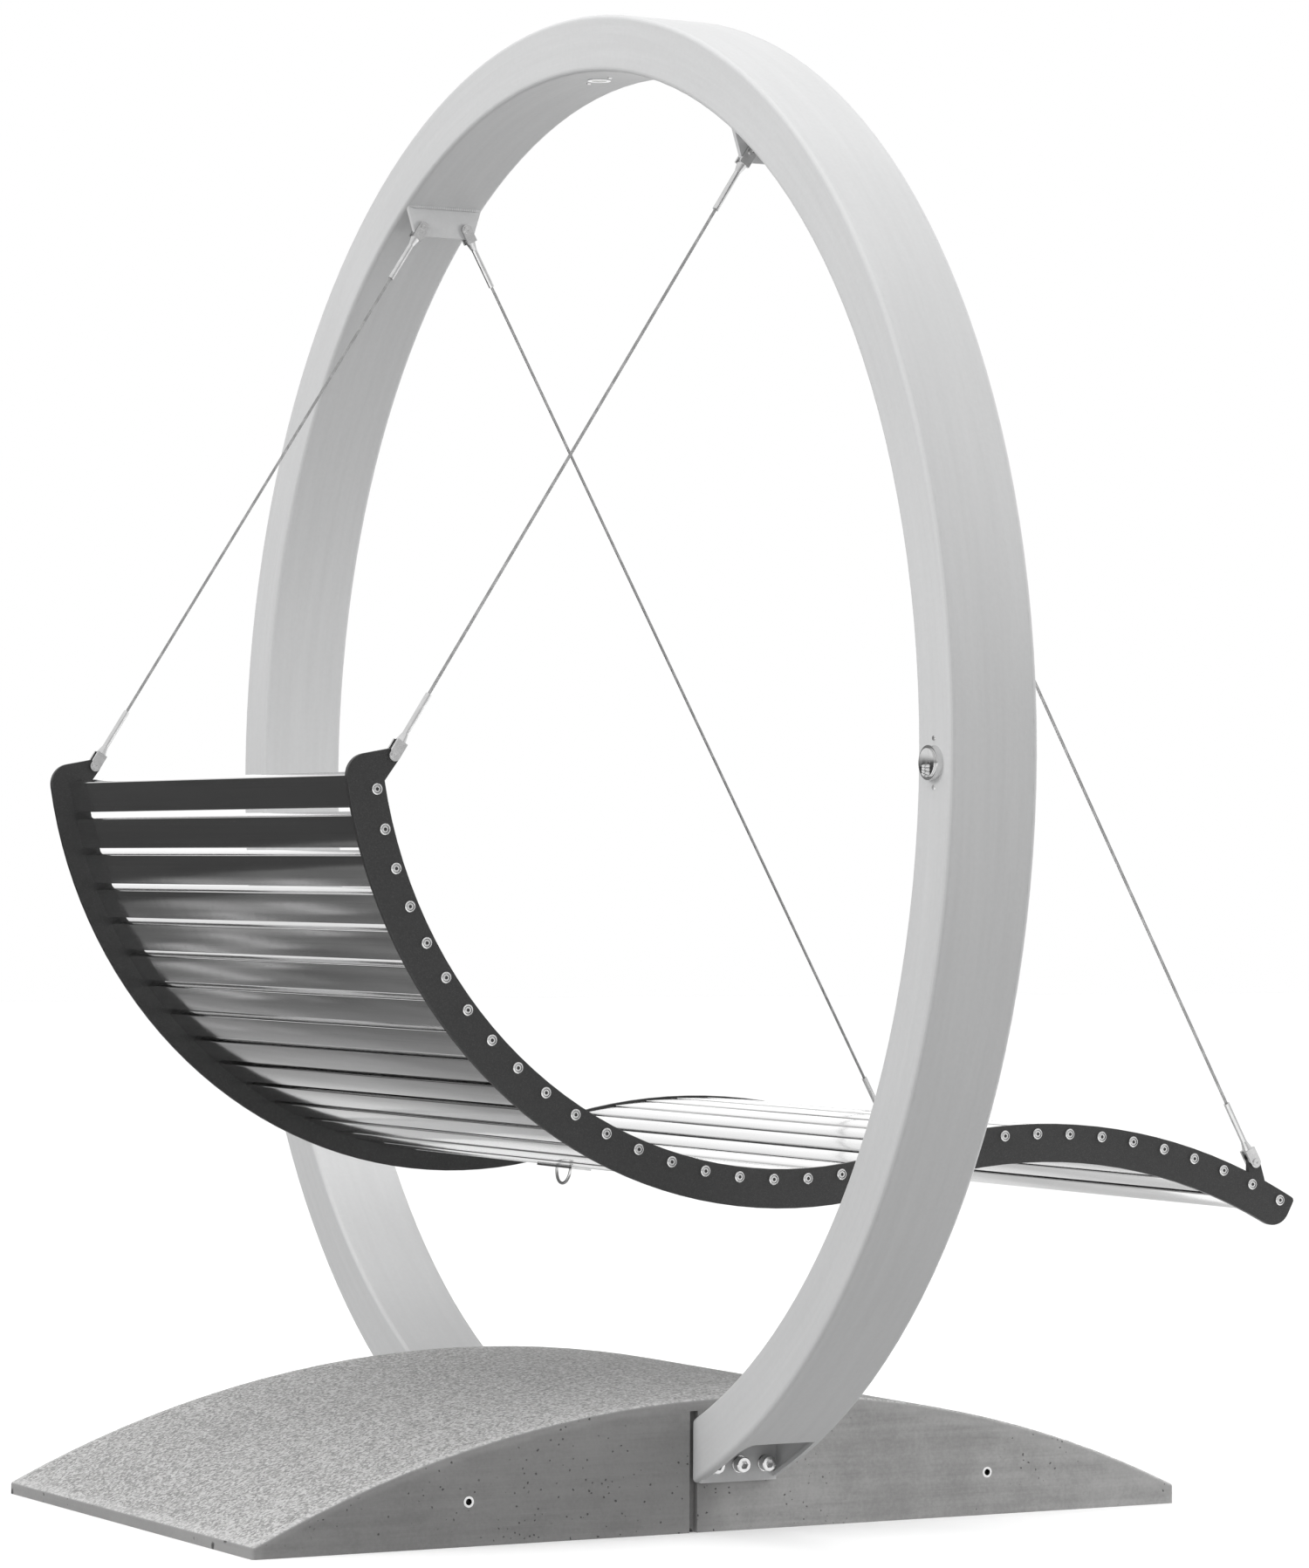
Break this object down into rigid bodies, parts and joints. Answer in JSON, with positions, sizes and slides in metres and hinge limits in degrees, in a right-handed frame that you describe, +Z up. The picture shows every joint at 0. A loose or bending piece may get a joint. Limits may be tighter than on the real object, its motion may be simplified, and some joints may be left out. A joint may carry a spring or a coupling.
{
  "type": "garden ring swing lounger",
  "caption": "Curved slatted lounger hung on wire ropes inside a large steel ring that stands on an arched concrete base.",
  "frame": {"origin": "middle of the base's underside, on the ground under the ring's centre", "axes": "+Z up; the ring lies in the XZ plane; the lounger swings along Y with its head end towards -Y and its foot end towards +Y"},
  "size_m": [2.3999, 1.7901, 2.381],
  "materials": {
    "ring_paint": "satin light grey paint",
    "concrete": "smooth cast concrete, exposed fine texture on the arched top",
    "galvanised": "galvanised steel",
    "stainless": "polished stainless steel",
    "wire_rope": "stranded stainless steel wire rope",
    "stringer_paint": "dark grey powder-coated aluminium plate",
    "slat_aluminium": "satin anodised aluminium extrusion",
    "chrome": "mirror chrome",
    "lamp_glass": "frosted lens",
    "black_plastic": "moulded black plastic",
    "lead_rubber": "black rubber sheath"
  },
  "bodies": {
    "ring_and_base": {"base_anchors": "galvanised", "button_collar": "chrome", "button_screws": "stainless", "button_spring": "stainless", "concrete_base": "concrete", "foot_bolts": "stainless", "foot_plate_left": "ring_paint", "foot_plate_right": "ring_paint", "foot_washers": "stainless", "hanger_plate_left": "ring_paint", "hanger_plate_right": "ring_paint", "lamp_bezel": "chrome", "lamp_body": "black_plastic", "lamp_lead": "lead_rubber", "lamp_lens": "lamp_glass", "lamp_screws": "stainless", "led_driver": "black_plastic", "ring_front_plate": "ring_paint", "ring_inner_band": "ring_paint", "ring_outer_band": "ring_paint", "ring_rear_plate": "ring_paint", "side_sockets": "stainless", "switch_body": "black_plastic"},
    "head_left_hanger": {"head_left_lower_fork": "stainless", "head_left_pins": "stainless", "head_left_rope": "wire_rope", "head_left_upper_fork": "stainless"},
    "head_right_hanger": {"head_right_lower_fork": "stainless", "head_right_pins": "stainless", "head_right_rope": "wire_rope", "head_right_upper_fork": "stainless"},
    "foot_left_hanger": {"foot_left_lower_fork": "stainless", "foot_left_pins": "stainless", "foot_left_rope": "wire_rope", "foot_left_upper_fork": "stainless"},
    "foot_right_hanger": {"foot_right_lower_fork": "stainless", "foot_right_pins": "stainless", "foot_right_rope": "wire_rope", "foot_right_upper_fork": "stainless"},
    "lounger": {"cup_washers": "stainless", "slat_screws": "stainless", "slats_01_to_03": "slat_aluminium", "slats_04_to_06": "slat_aluminium", "slats_07_to_09": "slat_aluminium", "slats_10_to_12": "slat_aluminium", "slats_13_to_15": "slat_aluminium", "slats_16_to_18": "slat_aluminium", "slats_19_to_21": "slat_aluminium", "slats_22_to_24": "slat_aluminium", "slats_25_to_27": "slat_aluminium", "slats_28_to_30": "slat_aluminium", "slats_31_to_33": "slat_aluminium", "stringer_left": "stringer_paint", "stringer_right": "stringer_paint", "tether_loop": "stainless", "tether_plate": "stainless", "tether_screws": "stainless"},
    "button_cap": {"light_button": "chrome"}
  },
  "joints": [
    {"name": "swing", "type": "hinge", "parent": "ring_and_base", "child": "head_left_hanger", "pos_m": [-0.56, -0.041, 2.107], "axis": [1, 0, 0], "range_deg": [-15, 15]},
    {"name": "head_right_swing", "type": "hinge", "parent": "ring_and_base", "child": "head_right_hanger", "pos_m": [0.56, -0.041, 2.107], "axis": [1, 0, 0], "range_deg": [-16, 16]},
    {"name": "foot_left_swing", "type": "hinge", "parent": "ring_and_base", "child": "foot_left_hanger", "pos_m": [-0.56, 0.041, 2.107], "axis": [1, 0, 0], "range_deg": [-16, 16]},
    {"name": "foot_right_swing", "type": "hinge", "parent": "ring_and_base", "child": "foot_right_hanger", "pos_m": [0.56, 0.041, 2.107], "axis": [1, 0, 0], "range_deg": [-16, 16]},
    {"name": "lounger_tilt", "type": "hinge", "parent": "head_left_hanger", "child": "lounger", "pos_m": [-0.56, -0.638, 1.179], "axis": [1, 0, 0], "range_deg": [-2, 2]},
    {"name": "button_press", "type": "slide", "parent": "ring_and_base", "child": "button_cap", "axis": [0, 1, 0], "range_m": [0, 0.0025], "stiffness_N_per_m": 400, "deforming": ["button_spring"]}
  ],
  "couplings": [
    {"joint": "head_right_swing", "follows": "swing", "ratio": 1},
    {"joint": "foot_left_swing", "follows": "swing", "ratio": 0.9725},
    {"joint": "foot_right_swing", "follows": "swing", "ratio": 0.9725},
    {"joint": "lounger_tilt", "follows": "swing", "ratio": -0.0682}
  ]
}
